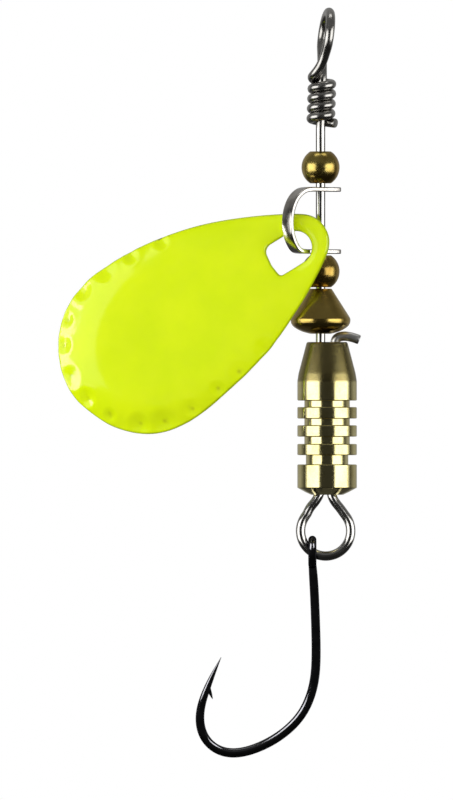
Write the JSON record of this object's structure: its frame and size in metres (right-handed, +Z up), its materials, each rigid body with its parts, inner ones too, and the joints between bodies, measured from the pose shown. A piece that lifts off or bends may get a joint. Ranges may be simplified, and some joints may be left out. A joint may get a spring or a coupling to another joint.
{
  "type": "in-line spinnerbait",
  "caption": "In-line spinner lure: wire line eye, beads, clevis with a swinging painted oval blade, bearing cone, grooved brass weight and a single barbed hook.",
  "frame": {"origin": "on the line of the shaft, level with the underside of the line eye's top arc, where the line pulls", "axes": "+Z up the shaft, the way the line pulls; -X the side the blade stands out to; -Y the blade's bright side"},
  "size_m": [0.0255, 0.0078, 0.063],
  "materials": {
    "spring_steel": "bright drawn stainless spring wire",
    "dark_brass": "polished dark olive-gold brass",
    "nickel_strip": "bright nickel plate",
    "chartreuse_paint": "glossy fluorescent chartreuse paint",
    "bright_brass": "bright polished pale brass",
    "black_nickel": "glossy black nickel plate"
  },
  "bodies": {
    "wire": {"wire": "spring_steel"},
    "upper_bead": {"upper_bead": "dark_brass"},
    "clevis": {"clevis": "nickel_strip"},
    "blade": {"blade": "chartreuse_paint"},
    "lower_bead": {"lower_bead": "dark_brass"},
    "bearing_cone": {"bearing_cone": "dark_brass"},
    "body": {"body": "bright_brass"},
    "hook": {"hook": "black_nickel"}
  },
  "joints": [
    {"name": "stack_slide", "type": "slide", "parent": "wire", "child": "bearing_cone", "axis": [0, 0, 1], "range_m": [0, 0.0019]},
    {"name": "lower_bead_spin", "type": "hinge", "parent": "bearing_cone", "child": "lower_bead", "pos_m": [0, 0, -0.02136], "axis": [0, 0, 1], "continuous": true},
    {"name": "upper_bead_spin", "type": "hinge", "parent": "bearing_cone", "child": "upper_bead", "pos_m": [0, 0, -0.01263], "axis": [0, 0, 1], "continuous": true},
    {"name": "clevis_spin", "type": "hinge", "parent": "bearing_cone", "child": "clevis", "pos_m": [0, 0, -0.01448], "axis": [0, 0, 1], "continuous": true},
    {"name": "blade_swing", "type": "hinge", "parent": "clevis", "child": "blade", "pos_m": [-0.00188, -0.00157, -0.01947], "axis": [-0.5812, -0.5199, -0.6261], "range_deg": [-2, 80]},
    {"name": "body_spin", "type": "hinge", "parent": "wire", "child": "body", "pos_m": [0.00055, 0, -0.0273], "axis": [0, 0, 1], "continuous": true},
    {"name": "hook_swing", "type": "hinge", "parent": "wire", "child": "hook", "pos_m": [-0.00069, 0, -0.04496], "axis": [1, 0, 0], "range_deg": [-140, 140]}
  ]
}
